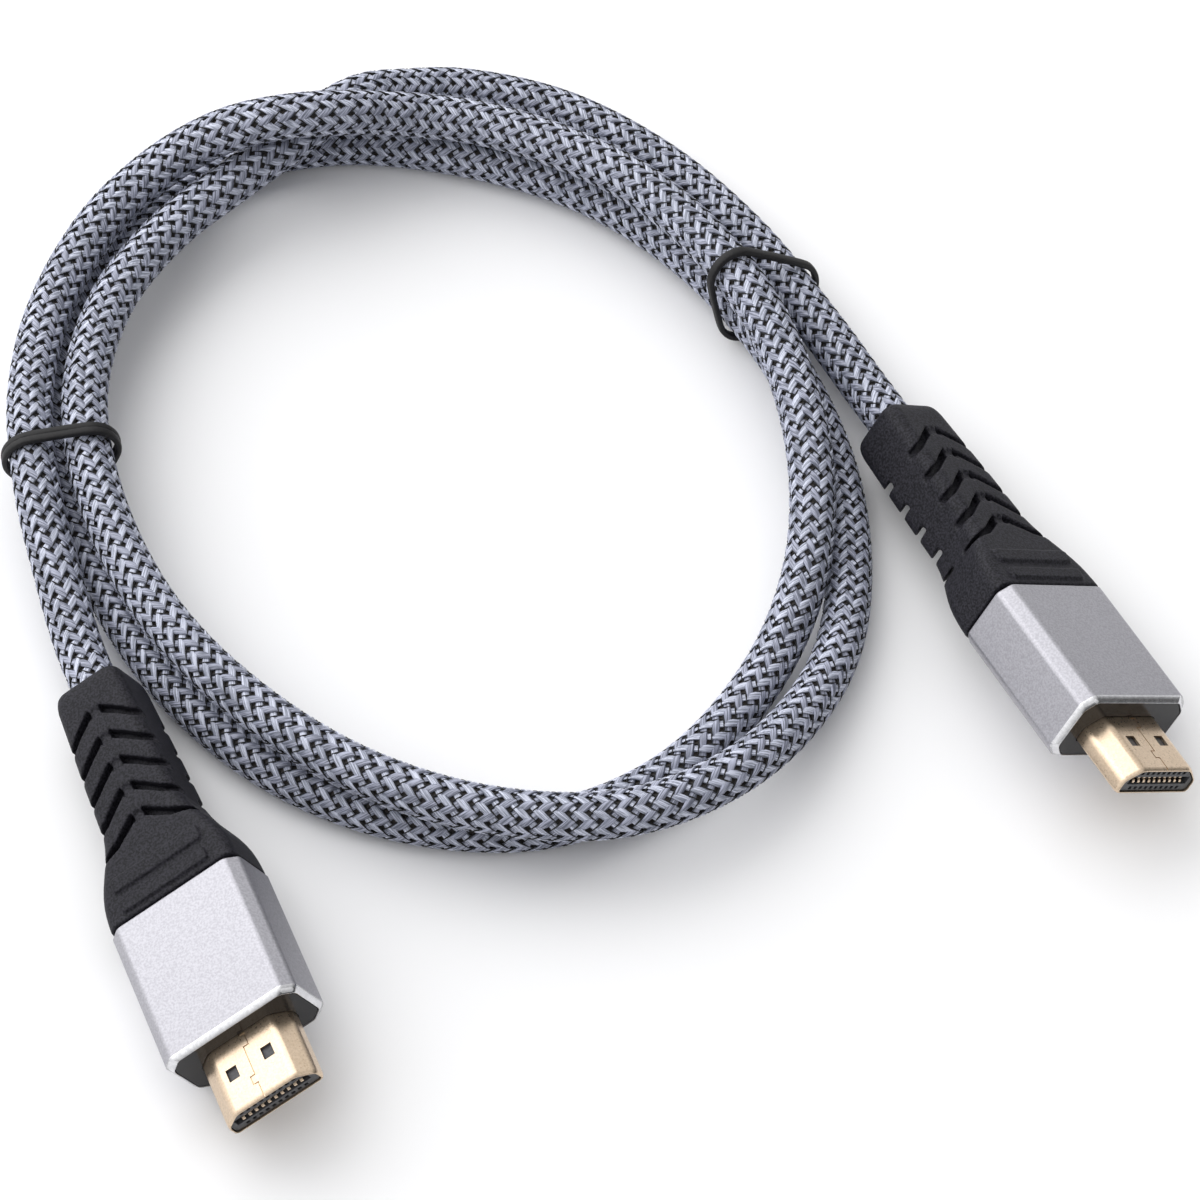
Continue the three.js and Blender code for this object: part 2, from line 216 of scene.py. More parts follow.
cable = {
    "diameter": 6.6,
    "length": 917.0,  # boot to boot
    "coreRadius": 2.7,
    "bootRear": -57.7,  # in the plug's frame
    "intoBoot": 2.5,
    "steps": 12,  # between two points of the route
    "route": [
        (-68, -12.1, 6.4), (-71.2, -1, 8.6), (-74, 11, 10.4), (-75.5, 26, 10.3), (-73.5, 41, 9.8),
        (-67.5, 55, 10), (-61.8, 61.5, 11.2), (-55, 65.5, 13.7), (-48, 67.2, 16.4), (-40.5, 68.2, 17.4),
        (-33.5, 69.8, 16), (-27, 72, 12.8), (-20, 73, 10.5), (-10.5, 71, 10.2), (6.8, 61.6, 10.5),
        (19, 48, 11.3), (27, 32.5, 11.2), (31, 14, 9.9), (30, -3, 7.2), (23.8, -17.8, 4.2),
        (11, -32.8, 3.4), (-5, -40, 3.4), (-23, -39, 3.4), (-40, -31.5, 3.4), (-54, -18.7, 3.4),
        (-64.5, -2, 3.8), (-70.8, 16, 4.6), (-71.5, 35, 3.8), (-65, 54.5, 3.4), (-53, 69, 3.4),
        (-36, 74.2, 3.4), (-17, 71.9, 3.4), (2, 64, 3.5), (17.5, 49.7, 4.5), (29, 31.5, 4.5),
        (35.2, 12, 3.4), (35, -9, 3.6), (30.5, -21.8, 5), (19.5, -36, 9.2), (5, -42.7, 10.4),
        (-12, -42, 10.4), (-29, -35.7, 10.2), (-44.5, -24.2, 9.9), (-57, -9.5, 10), (-65, 8, 10.5),
        (-68, 26, 10.4), (-64.8, 42.5, 9.8), (-57, 55, 9.5), (-48.8, 62.5, 9.8), (-41.5, 68.5, 10.4),
        (-35.5, 73.8, 10.6), (-30, 78.2, 9.3), (-24, 81, 6.6), (-16, 82.6, 4.4), (-2, 79, 3.5),
        (12, 69.2, 3.6), (24, 54.8, 4.6), (33.8, 37.8, 5.6), (39.6, 26.6, 6.1),
    ],
}


def routePoints():
    endX = cable["bootRear"] + cable["intoBoot"]
    ends = [plugMatrix(plugs[side]) @ Vector((endX, 0, 0)) for side in ("left", "right")]
    return [ends[0] * mm] + [Vector(p) * mm for p in cable["route"]] + [ends[1] * mm]


def smoothHandles(points):
    # tangents of a smooth line through the points, spaced by the root of their distances
    padded = [2 * points[0] - points[1]] + points + [2 * points[-1] - points[-2]]
    gaps = [math.sqrt((b - a).length) for a, b in zip(padded, padded[1:])]
    handles = []
    for i in range(1, len(padded) - 1):
        before, here, after = padded[i - 1:i + 2]
        gapIn, gapOut = gaps[i - 1], gaps[i]
        slope = (here - before) / gapIn - (after - before) / (gapIn + gapOut) + (after - here) / gapOut
        handles.append((here - slope * gapIn / 3, here + slope * gapOut / 3))
    return handles


def makeCore(material):
    curve = bpy.data.curves.new("cableCore", "CURVE")
    curve.dimensions = "3D"
    curve.twist_mode = "Z_UP"
    curve.resolution_u = cable["steps"]
    curve.bevel_depth = cable["coreRadius"] * mm
    curve.bevel_resolution = 4
    curve.use_fill_caps = True
    spline = curve.splines.new("BEZIER")
    points = routePoints()
    spline.bezier_points.add(len(points) - 1)
    for knot, place, (left, right) in zip(spline.bezier_points, points, smoothHandles(points)):
        knot.handle_left_type = "FREE"
        knot.handle_right_type = "FREE"
        knot.co = place
        knot.handle_left = left
        knot.handle_right = right
    core = bpy.data.objects.new("cableCore", curve)
    bpy.context.scene.collection.objects.link(core)
    curve.materials.append(material)
    return core


coreMaterial, coreShader = newMaterial("darkLiner", Roughness=0.7)
coreShader.inputs["Base Color"].default_value = (0.045, 0.038, 0.034, 1)
cableCore = makeCore(coreMaterial)
cableLength = cableCore.data.splines[0].calc_length()
print("cable core:", round(cableLength / mm), "mm")

# Braid: flat bundles each with a thin black thread, over one crossing pair and under the next

braid = {
    "carriers": 8,  # light bundles each way; as many threads lie beside them
    "lay": 2.5,  # along the cable for one bundle and its thread
    "lightShare": 0.6,  # of the way round from one bundle to the next
    "threadShare": 0.12,
    "lightTop": 3.11,  # radius of the outer face, halfway between over and under
    "threadTop": 3.08,
    "wave": 0.15,
    "lightThickness": 0.2,
    "threadThickness": 0.2,
    "crown": 0.11,  # the edges lie this much lower than the top
    "shoulder": (0.55, 0.01),  # where a bundle's top ends, as a share of its half, and how far down
    "waveFlatness": 1.8,
    "steps": 6,
    "mergeWithin": 0.002,
}


def ribbonSection(kind):
    # angle as a share of the pitch, radius in millimetres; the outer face comes first
    half = braid[kind + "Share"] / 2
    top = braid[kind + "Top"]
    bottom = top - braid[kind + "Thickness"]
    crown = braid["crown"]
    if kind == "thread":
        return [(-half, top - crown), (0, top), (half, top - crown), (0, bottom)]
    out, down = braid["shoulder"]
    return [
        (-half, top - crown), (-half * out, top - down), (half * out, top - down), (half, top - crown),
        (0, bottom),
    ]


def wavePhase(kind, way):
    # where a strand is highest, as a share of the pitch round the cable
    light = braid["lightShare"]
    thread = braid["threadShare"]
    offset = (light + thread) / 2
    if kind == "light":
        middle = (offset / 2 - thread / 4 + 0.5 + light / 4) / 2
    else:
        middle = (offset / 2 - light / 4 + offset + thread / 4) / 2
    return middle if way > 0 else middle + 0.5


def makeStrands(kind, way, material):
    pitch = 2 * math.pi / braid["carriers"]
    count = round(cableLength / mm / braid["lay"])
    lay = cableLength / count
    start = 0 if kind == "light" else (braid["lightShare"] + braid["threadShare"]) / 2
    half = braid[kind + "Share"] / 2
    phase = wavePhase(kind, way)
    flatness = braid["waveFlatness"]
    bm = bmesh.new()
    ring = []
    for share, radius in ribbonSection(kind):
        angle = (start + share) * pitch
        ring.append(bm.verts.new((0, radius * mm * math.cos(angle), radius * mm * math.sin(angle))))
    for i, vert in enumerate(ring):
        bm.edges.new((vert, ring[(i + 1) % len(ring)]))
    steps = braid["steps"]
    bmesh.ops.spin(
        bm, geom=bm.verts[:] + bm.edges[:], cent=(0, 0, 0), axis=(1, 0, 0),
        dvec=(lay / steps, 0, 0), angle=way * pitch, steps=steps)
    uvs = bm.loops.layers.uv.new("along")
    for face in bm.faces:
        for loop in face.loops:
            x, y, z = loop.vert.co
            across = math.atan2(z, y) / pitch - start - way * x / lay
            across = (across + 0.5 * braid["carriers"]) % braid["carriers"] - 0.5 * braid["carriers"]
            loop[uvs].uv = (x / lay, 0.5 + 0.5 * across / half)
    for vert in bm.verts:
        angle = math.atan2(vert.co.z, vert.co.y) / pitch
        lift = math.tanh(flatness * math.cos(2 * math.pi * (angle - phase))) / math.tanh(flatness)
        outward = Vector((0, vert.co.y, vert.co.z)).normalized()
        vert.co += outward * braid["wave"] * mm * lift
    bmesh.ops.recalc_face_normals(bm, faces=bm.faces[:])
    first = bm.verts[:] + bm.edges[:] + bm.faces[:]
    for i in range(1, braid["carriers"]):
        copy = bmesh.ops.duplicate(bm, geom=first)
        moved = [item for item in copy["geom"] if isinstance(item, bmesh.types.BMVert)]
        bmesh.ops.rotate(bm, cent=(0, 0, 0), matrix=Matrix.Rotation(i * pitch, 3, "X"), verts=moved)
    for face in bm.faces:
        face.smooth = True
    name = f"{kind}{'Right' if way > 0 else 'Left'}Strands"
    strands = newPiece(name, newMesh(name, bm), [material])
    array = strands.modifiers.new("along", "ARRAY")
    array.count = count
    array.use_relative_offset = False
    array.use_constant_offset = True
    array.constant_offset_displace = (lay, 0, 0)
    array.offset_u = 1
    array.use_merge_vertices = True
    array.merge_threshold = braid["mergeWithin"] * mm
    bend = strands.modifiers.new("bend", "CURVE")
    bend.object = cableCore
    bend.deform_axis = "POS_X"
    bakeModifiers(strands)
    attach(strands, "root")
    return strands


filament = {
    "stretch": (0.3, 4.0, 1.0),  # along the bundle, across it
    "fineness": 1.6,
    "ramp": (0.41, 0.59),
    "shift": 330,  # keeps the streaks of one bundle from running on into the next
    "relief": (0.5, 0.05),  # strength, height
}


def makeFilament(name, dark, light, roughness):
    material, shader = newMaterial(name, Roughness=roughness)
    place = addNode(material, "ShaderNodeUVMap", uv_map="along")
    stretch = addNode(material, "ShaderNodeMapping", "filaments")
    stretch.inputs["Scale"].default_value = filament["stretch"]
    fibres = addNode(material, "ShaderNodeTexNoise", "filaments", Scale=filament["fineness"], Detail=3)
    # Streaks of random tone along the bundle; the darker streaks are painted shade between the filaments.
    ramp = addNode(material, "ShaderNodeValToRGB", "filament streaks and painted shade")
    for stop, position, colour in zip(ramp.color_ramp.elements, filament["ramp"], (dark, light)):
        stop.position = position
        stop.color = colour
    spot = addNode(material, "ShaderNodeTexCoord")
    shift = addNode(material, "ShaderNodeVectorMath", "each bundle differs", operation="MULTIPLY_ADD")
    shift.inputs[1].default_value = [filament["shift"]] * 3
    link(material, place.outputs["UV"], stretch.inputs["Vector"])
    link(material, spot.outputs["Object"], shift.inputs[0])
    link(material, stretch.outputs["Vector"], shift.inputs[2])
    link(material, shift.outputs["Vector"], fibres.inputs["Vector"])
    link(material, fibres.outputs["Fac"], ramp.inputs["Fac"])
    link(material, ramp.outputs["Color"], shader.inputs["Base Color"])
    strength, height = filament["relief"]
    bump = addNode(material, "ShaderNodeBump", "filament ridges", Strength=strength, Distance=height * mm)
    link(material, fibres.outputs["Fac"], bump.inputs["Height"])
    link(material, bump.outputs["Normal"], shader.inputs["Normal"])
    return material


# Both ways are the same light grey fibre: the right-hand way is painted lighter as painted sheen and the
# left-hand way darker as painted shade, standing in for how the fibres catch the light.
paintedSheenFilament = makeFilament("paintedSheenFilament", (0.24, 0.26, 0.33, 1), (0.64, 0.67, 0.8, 1), 0.42)
paintedShadeFilament = makeFilament("paintedShadeFilament", (0.12, 0.13, 0.175, 1), (0.4, 0.42, 0.53, 1), 0.42)
blackThread = makeFilament("blackThread", (0.006, 0.006, 0.007, 1), (0.02, 0.019, 0.02, 1), 0.8)
for way in (1, -1):
    makeStrands("light", way, paintedSheenFilament if way > 0 else paintedShadeFilament)
    makeStrands("thread", way, blackThread)

# Sections across a plug, carried on along it; millimetres in the plug's own frame

def roundedFace(bm, halfLength, halfWidth, corner, segments):
    before = set(bm.faces)
    made = bmesh.ops.create_grid(bm, x_segments=1, y_segments=1, size=1)
    bmesh.ops.scale(bm, vec=(halfLength, halfWidth, 1), verts=made["verts"])
    bmesh.ops.bevel(
        bm, geom=made["verts"], offset=corner, segments=segments, profile=0.5,
        affect="VERTICES", material=-1)
    return [face for face in bm.faces if face not in before][0]


def startSection(bm, x, halfWidth, halfHeight, corner, segments):
    face = roundedFace(bm, halfWidth, halfHeight, corner, segments)
    acrossPlug = Matrix(((0, 0, 1), (1, 0, 0), (0, 1, 0)))
    bmesh.ops.rotate(bm, cent=(0, 0, 0), matrix=acrossPlug, verts=face.verts[:])
    bmesh.ops.translate(bm, vec=(x, 0, 0), verts=face.verts[:])
    return face


def softenCorners(bm, face, width, segments):
    before = set(bm.faces) - {face}
    bmesh.ops.bevel(
        bm, geom=face.verts[:], offset=width, segments=segments, profile=0.5,
        affect="VERTICES", material=-1)
    return [face for face in bm.faces if face not in before][0]


def extruded(bm, face):
    made = bmesh.ops.extrude_face_region(bm, geom=[face])
    return [item for item in made["geom"] if isinstance(item, bmesh.types.BMFace)][0]


def carryOn(bm, face, x, widen, heighten):
    # the next section: every corner keeps its shape and moves outwards
    face = extruded(bm, face)
    for vert in face.verts:
        vert.co.x = x
        vert.co.y += widen * math.copysign(1, vert.co.y)
        vert.co.z += heighten * math.copysign(1, vert.co.z)
    return face


def carryThrough(bm, face, stations):
    # a station holds the place along the plug, half the width and half the height
    first = face
    for (_, width0, height0), (x, width, height) in zip(stations, stations[1:]):
        section = carryOn(bm, face, x, width - width0, height - height0)
        if face is not first:
            bmesh.ops.delete(bm, geom=[face], context="FACES_ONLY")
        face = section
    return face


def addBox(bm, size, middle):
    made = bmesh.ops.create_cube(bm, size=1)
    bmesh.ops.scale(bm, vec=size, verts=made["verts"])
    bmesh.ops.translate(bm, vec=middle, verts=made["verts"])


tubeGap = 0.001  # points nearer than this are one


def closeTube(bm, ends):
    # the bore's last section and the rear opening lie on each other and become one
    bmesh.ops.delete(bm, geom=ends, context="FACES_ONLY")
    bmesh.ops.remove_doubles(bm, verts=bm.verts[:], dist=tubeGap)
    bmesh.ops.recalc_face_normals(bm, faces=bm.faces[:])


def placeOnPlugs(name, mesh, materials, slot, *replaced):
    for side in plugs:
        copy = mesh.copy()
        copy.transform(plugMatrix(plugs[side]))
        copy.transform(Matrix.Scale(mm, 4))
        piece = newPiece(side + name, copy, materials)
        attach(piece, "root")
        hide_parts(*[f"{side}_{node}" for node in replaced])
    print(f"{name.lower()}s:", len(mesh.polygons), "faces each")


# Moulded boot: domed collar, slotted neck, flared grip with two bars, body in the sleeve

boot = {
    "corner": 1.7,
    "neck": [
        (-57.7, 4.3, 3.95), (-57.5, 4.6, 4.25), (-57.1, 4.85, 4.45), (-56.4, 5.05, 4.58), (-55.4, 5.2, 4.65),
        (-50.0, 5.45, 4.7), (-43.0, 5.8, 4.76), (-36.0, 6.05, 4.8), (-34.4, 6.15, 4.8),
    ],
    "gripEnd": (-21.25, 9.9, 5.2),
    "gripSwell": [  # shares of the way along and of the way out
        (0.1, 0.08), (0.2, 0.2), (0.3, 0.35), (0.4, 0.52), (0.5, 0.68),
        (0.6, 0.81), (0.7, 0.905), (0.8, 0.96), (0.9, 0.99), (0.97, 1.0),
    ],
    "body": [(-24.0, 8.6, 4.0), (-1.95, 8.6, 4.0)],
    "boreRadius": 3.42,
    "boreDepth": 2.75,
    "posts": [-52.0, -47.6, -43.2, -38.8, -34.4],
    "clearance": 1.5,  # the slot cutters start this many times as high as the neck
    "slotDepth": 1.7,
    "slopeFrom": 4.3,  # out from here the slot's floor falls round the side
    "slope": 0.65,
    # along from the post, out from the middle, width
    "arm": [(-0.1, 0.72, 1.5), (1.45, 2.7, 1.4), (3.05, 4.5, 1.3), (3.45, 5.4, 1.2), (4.0, 6.6, 0.95)],
    "lastArm": [(-0.1, 0.72, 1.5), (1.25, 2.6, 1.42), (2.45, 4.2, 1.25), (3.2, 6.0, 0.85), (3.9, 8.3, 0.3)],
    "postWidth": 1.5,
    "postReach": 0.85,
    "postSweep": 0.8,
    "postRecess": 0.4,
    # middle, width, length, height of the grip
    "bars": [(-26.55, 2.1, 13.8, 5.03), (-23.1, 1.85, 13.4, 5.14)],
    "barRise": 0.45,
    "barCorner": 0.4,
    "voxel": 0.18,
    "softening": 2,
}


def makeSlotArms(top):
    # both arms of each slot, over the neck and again under it
    high = top * boot["clearance"]
    bm = bmesh.new()
    for post in boot["posts"]:
        arm = boot["lastArm"] if post == boot["posts"][-1] else boot["arm"]
        for way in (1, -1):
            rear = [(post + along - width / 2, way * out, high) for along, out, width in arm]
            front = [(post + along + width / 2, way * out, high) for along, out, width in arm]
            floor = extruded(bm, bm.faces.new([bm.verts.new(p) for p in rear + front[::-1]]))
            for vert in floor.verts:
                beyond = max(0.0, abs(vert.co.y) - boot["slopeFrom"])
                vert.co.z = top - boot["slotDepth"] - beyond * boot["slope"]
    return underneathToo(bm)


def makePostTops(top):
    # each slot leaves a post in its middle, a little lower than the neck
    reach = boot["postReach"]
    high = top * boot["clearance"]
    bm = bmesh.new()
    for post in boot["posts"]:
        corners = []
        for edge, ways in ((-boot["postWidth"] / 2, (1, 0, -1)), (boot["postWidth"] / 2, (-1, 0, 1))):
            for way in ways:
                corners.append((post + edge + abs(way) * reach * boot["postSweep"], way * reach, high))
        floor = extruded(bm, bm.faces.new([bm.verts.new(p) for p in corners]))
        for vert in floor.verts:
            vert.co.z = top - boot["postRecess"]
    return underneathToo(bm)


def underneathToo(bm):
    bmesh.ops.triangulate(bm, faces=bm.faces[:])
    lower = bmesh.ops.duplicate(bm, geom=bm.verts[:] + bm.edges[:] + bm.faces[:])
    below = [item for item in lower["geom"] if isinstance(item, bmesh.types.BMVert)]
    bmesh.ops.scale(bm, vec=(1, 1, -1), verts=below)
    bmesh.ops.recalc_face_normals(bm, faces=bm.faces[:])
    return bm


def makeBars():
    bm = bmesh.new()
    for x, width, length, height in boot["bars"]:
        face = roundedFace(bm, width / 2, length / 2, boot["barCorner"], 4)
        bmesh.ops.translate(bm, vec=(x, 0, height - 1), verts=face.verts[:])
        top = extruded(bm, face)
        for vert in top.verts:
            vert.co.z = height + boot["barRise"]
    bmesh.ops.recalc_face_normals(bm, faces=bm.faces[:])
    return bm


def makeCableBore():
    bm = bmesh.new()
    bmesh.ops.create_cone(
        bm, cap_ends=True, segments=48, radius1=boot["boreRadius"], radius2=boot["boreRadius"],
        depth=boot["boreDepth"] * 2)
    bmesh.ops.rotate(bm, cent=(0, 0, 0), matrix=Matrix.Rotation(math.pi / 2, 3, "Y"), verts=bm.verts[:])
    bmesh.ops.translate(bm, vec=(boot["neck"][0][0], 0, 0), verts=bm.verts[:])
    return bm


def makeBoot():
    neckX, neckWidth, neckHeight = boot["neck"][-1]
    endX, gripWidth, gripHeight = boot["gripEnd"]
    stations = list(boot["neck"])
    for along, wide in boot["gripSwell"]:
        stations.append((
            neckX + (endX - neckX) * along, neckWidth + (gripWidth - neckWidth) * wide,
            neckHeight + (gripHeight - neckHeight) * along))
    stations.append(boot["gripEnd"])
    bm = bmesh.new()
    face = startSection(bm, *stations[0], boot["corner"], 6)
    carryThrough(bm, face, stations)
    bmesh.ops.recalc_face_normals(bm, faces=bm.faces[:])
    bars = cutter("gripBars", makeBars())
    cutters = [
        cutter("slotArms", makeSlotArms(neckHeight)), cutter("postTops", makePostTops(neckHeight)),
        cutter("cableBore", makeCableBore()),
    ]
    steps = [("BOOLEAN", {"operation": "UNION", "solver": "EXACT", "object": bars})]
    for tool in cutters:
        steps.append(("BOOLEAN", {"operation": "DIFFERENCE", "solver": "EXACT", "object": tool}))
    steps.append(("REMESH", {"mode": "VOXEL", "voxel_size": boot["voxel"], "use_smooth_shade": True}))
    steps.append(("SMOOTH", {"factor": 0.5, "iterations": boot["softening"]}))
    grip = drafted("boot", newMesh("boot", bm), *steps)
    for tool in [bars, *cutters]:
        bpy.data.objects.remove(tool)
    bm = bmesh.new()
    bm.from_mesh(grip)
    body = startSection(bm, *boot["body"][0], boot["corner"], 3)
    carryThrough(bm, body, boot["body"])
    bmesh.ops.recalc_face_normals(bm, faces=bm.faces[:])
    return newMesh("boot", bm)


# Aluminium sleeve with soft chamfers and a polished cut round its mouth

sleeve = {
    "length": 20.9,
    "mouth": 0.8,  # the polished cut comes this far forward
    "width": 20.3,
    "height": 10.9,
    "chamfer": 1.6,
    "softness": 0.45,
    "rim": (0.8, 0.62),  # back from the mouth, in from the outside
    "polished": 0.75,  # share of the rim, from the mouth back
    "seat": (1.4, 0.7),  # for the face plate, back from the mouth and in from the outside
    "rear": [(0.0, 0.3), (0.1, 0.12), (0.35, 0.0)],  # along from the rear, in from the outside
    "wall": 1.0,
}


def makeSleeve():
    halfWidth = sleeve["width"] / 2
    halfHeight = sleeve["height"] / 2
    rimLength, rimCut = sleeve["rim"]
    insets = [(along - sleeve["length"], cut) for along, cut in sleeve["rear"]]
    seatDepth, seatCut = sleeve["seat"]
    mouth = sleeve["mouth"]
    insets += [(mouth - rimLength, 0.0), (mouth, rimCut), (mouth, seatCut), (mouth - seatDepth, seatCut)]
    insets += [(mouth - seatDepth, sleeve["wall"]), (-sleeve["length"], sleeve["wall"])]
    stations = [(x, halfWidth - cut, halfHeight - cut) for x, cut in insets]
    bm = bmesh.new()
    rear = startSection(bm, *stations[0], sleeve["chamfer"], 1)
    rear = softenCorners(bm, rear, sleeve["softness"], 5)
    boreEnd = carryThrough(bm, rear, stations)
    toWall = insets[0][1] - sleeve["wall"]
    opening = carryOn(bm, rear, -sleeve["length"], toWall, toWall)
    closeTube(bm, [boreEnd, opening, rear])
    mesh = drafted("sleeve", newMesh("sleeve", bm), ("WEIGHTED_NORMAL", {"weight": 50}))
    for polygon in mesh.polygons:
        polished = polygon.center.x > mouth - rimLength * sleeve["polished"]
        polygon.material_index = 1 if polished else 0
    return mesh


# Black plate that fills the sleeve's mouth round the shell

facePlate = {
    "front": 0.74,
    "thickness": 1.3,
    "cut": 0.74,
    "edge": 0.08,
    "hole": (-3.0, 1.0, -0.1),  # rear, front, in from the shell's outside
}


def makeFacePlate():
    halfWidth = sleeve["width"] / 2 - facePlate["cut"]
    halfHeight = sleeve["height"] / 2 - facePlate["cut"]
    front = facePlate["front"]
    edge = facePlate["edge"]
    bm = bmesh.new()
    back = startSection(bm, front - facePlate["thickness"], halfWidth, halfHeight, sleeve["chamfer"], 1)
    back = softenCorners(bm, back, sleeve["softness"], 5)
    stations = [
        (front - facePlate["thickness"], halfWidth, halfHeight), (front - edge, halfWidth, halfHeight),
        (front, halfWidth - edge, halfHeight - edge)]
    carryThrough(bm, back, stations)
    bmesh.ops.recalc_face_normals(bm, faces=bm.faces[:])
    hole = cutter("plateHole", makeShellSolid(*facePlate["hole"]))
    mesh = drafted(
        "facePlate", newMesh("facePlate", bm),
        ("BOOLEAN", {"operation": "DIFFERENCE", "solver": "EXACT", "object": hole}))
    bpy.data.objects.remove(hole)
    smoothExcept(mesh, 30)
    return mesh


# Gold plated shell: bent from sheet, with a seam locked by two tabs between its two windows

shell = {
    "rear": -1.6,
    "length": 10.45,
    "width": 13.9,
    "height": 4.45,
    "narrowWidth": 9.5,
    "slopeHeight": 2.1,
    "bend": 0.6,
    "wall": 0.35,
    "tip": [(0.6, 0.0), (0.3, 0.05), (0.08, 0.14), (0.0, 0.22)],  # back from the tip, in from the outside
    "windows": [(5.15, -2.7), (5.15, 2.7)],
    "windowSize": (1.8, 1.6),
    "seamWidth": 0.16,
    "seamDepth": 0.2,
    "seam": [
        (-0.5, 0), (1.0, 0), (1.0, 0.75), (2.7, 0.75), (2.7, 0),
        (7.0, 0), (7.0, -0.7), (8.2, -0.7), (8.2, 0), (11, 0),
    ],
    "edge": 0.04,
}


def shrinkOn(bm, face, x, cut, cutBefore):
    # the next section of the shell, smaller all round
    halfWidth = shell["width"] / 2
    halfHeight = shell["height"] / 2
    face = extruded(bm, face)
    factors = (1, (halfWidth - cut) / (halfWidth - cutBefore), (halfHeight - cut) / (halfHeight - cutBefore))
    bmesh.ops.scale(bm, vec=factors, verts=face.verts[:])
    for vert in face.verts:
        vert.co.x = x
    return face


def makeWindows():
    length, width = shell["windowSize"]
    bm = bmesh.new()
    for x, y in shell["windows"]:
        addBox(bm, (length, width, shell["wall"] * 4), (x, y, shell["height"] / 2))
    return bm


def makeSeamCut():
    width = shell["seamWidth"]
    bm = bmesh.new()
    for (x0, y0), (x1, y1) in zip(shell["seam"], shell["seam"][1:]):
        size = (abs(x1 - x0) + width, abs(y1 - y0) + width, shell["seamDepth"] * 2)
        addBox(bm, size, ((x0 + x1) / 2, (y0 + y1) / 2, shell["height"] / 2))
    return bm


def shellSection(bm, x):
    side = shell["width"] / 2
    narrow = shell["narrowWidth"] / 2
    top = shell["height"] / 2
    shoulder = top - shell["slopeHeight"]
    corners = [
        (narrow, top), (side, shoulder), (side, -top), (-side, -top), (-side, shoulder), (-narrow, top)]
    face = bm.faces.new([bm.verts.new((x, y, z)) for y, z in corners])
    return softenCorners(bm, face, shell["bend"], 5)


def makeShellSolid(rear, front, cut):
    # the space inside the shell's outline, cut this far in from it
    bm = bmesh.new()
    face = shellSection(bm, rear)
    shrinkOn(bm, face, front, 0, 0)
    halfWidth = shell["width"] / 2
    halfHeight = shell["height"] / 2
    factors = (1, (halfWidth - cut) / halfWidth, (halfHeight - cut) / halfHeight)
    bmesh.ops.scale(bm, vec=factors, verts=bm.verts[:])
    bmesh.ops.recalc_face_normals(bm, faces=bm.faces[:])
    return bm


def makeShell():
    bm = bmesh.new()
    rear = shellSection(bm, shell["rear"])
    stations = [(shell["length"] - back, cut) for back, cut in shell["tip"]]
    stations += [(shell["length"], shell["wall"]), (shell["rear"], shell["wall"])]
    face = rear
    before = 0.0
    for x, cut in stations:
        section = shrinkOn(bm, face, x, cut, before)
        if face is not rear:
            bmesh.ops.delete(bm, geom=[face], context="FACES_ONLY")
        face = section
        before = cut
    opening = shrinkOn(bm, rear, shell["rear"], shell["wall"], 0.0)
    closeTube(bm, [face, opening, rear])
    windows = cutter("windows", makeWindows())
    seam = cutter("seam", makeSeamCut())
    mesh = drafted(
        "shell", newMesh("shell", bm),
        ("BOOLEAN", {"operation": "DIFFERENCE", "solver": "EXACT", "object": windows}),
        ("BOOLEAN", {"operation": "DIFFERENCE", "solver": "EXACT", "use_self": True, "object": seam}),
        ("BEVEL", {"width": shell["edge"], "segments": 2, **sharpEdges}),
        ("WEIGHTED_NORMAL", {"weight": 50}))
    for tool in (windows, seam):
        bpy.data.objects.remove(tool)
    return mesh


# Black contact carrier in the shell, and the gold springs in its slot

carrier = {
    "rear": -1.6,
    "front": 10.2,
    "cut": 0.45,  # in from the shell's outside
    "slot": (7.6, 11.3, 1.3),  # depth, width, height
    "pitch": 1.0,
    "rows": [(9, 1.32, 1), (10, -1.32, -1)],  # notches, their height, side
    "notch": (1.6, 0.56, 0.52),
    "spring": [(2.7, 0.62), (8.6, 0.56), (9.4, 0.3), (9.85, 0.3), (10.05, 0.5)],  # along, out from the middle
    "springWidth": 0.42,
    "springThickness": 0.2,
    "edge": 0.03,
}


def makeCarrier():
    front = carrier["front"]
    depth, width, height = carrier["slot"]
    slots = bmesh.new()
    addBox(slots, (depth + 1, width, height), (front + (1 - depth) / 2, 0, 0))
    for count, z, side in carrier["rows"]:
        for i in range(count):
            addBox(slots, carrier["notch"], (front, (i - (count - 1) / 2) * carrier["pitch"], z))
    tool = cutter("slots", slots)
    bm = makeShellSolid(carrier["rear"], front, carrier["cut"])
    mesh = drafted(
        "carrier", newMesh("carrier", bm),
        ("BOOLEAN", {"operation": "DIFFERENCE", "solver": "EXACT", "object": tool}),
        ("BEVEL", {"width": carrier["edge"], "segments": 1, **sharpEdges}))
    bpy.data.objects.remove(tool)
    smoothExcept(mesh, 30)
    return mesh


def makeSprings(count, side):
    halfWidth = carrier["springWidth"] / 2
    thickness = carrier["springThickness"]
    bm = bmesh.new()
    for i in range(count):
        middle = (i - (count - 1) / 2) * carrier["pitch"]
        rearX, top = carrier["spring"][0]
        bottom = top - thickness
        corners = [(-halfWidth, top), (halfWidth, top), (halfWidth, bottom), (-halfWidth, bottom)]
        rear = bm.faces.new([bm.verts.new((rearX, middle + y, side * z)) for y, z in corners])
        face = rear
        for (_, before), (x, out) in zip(carrier["spring"], carrier["spring"][1:]):
            section = extruded(bm, face)
            if face is not rear:
                bmesh.ops.delete(bm, geom=[face], context="FACES_ONLY")
            for vert in section.verts:
                vert.co.x = x
                vert.co.z += side * (out - before)
            face = section
    bmesh.ops.recalc_face_normals(bm, faces=bm.faces[:])
    mesh = newMesh("springs", bm)
    smoothExcept(mesh, 50)
    return mesh


# Plug finishes: each has grain from noise on the piece

grainLook = {"ramp": (0.36, 0.64), "height": 0.03}


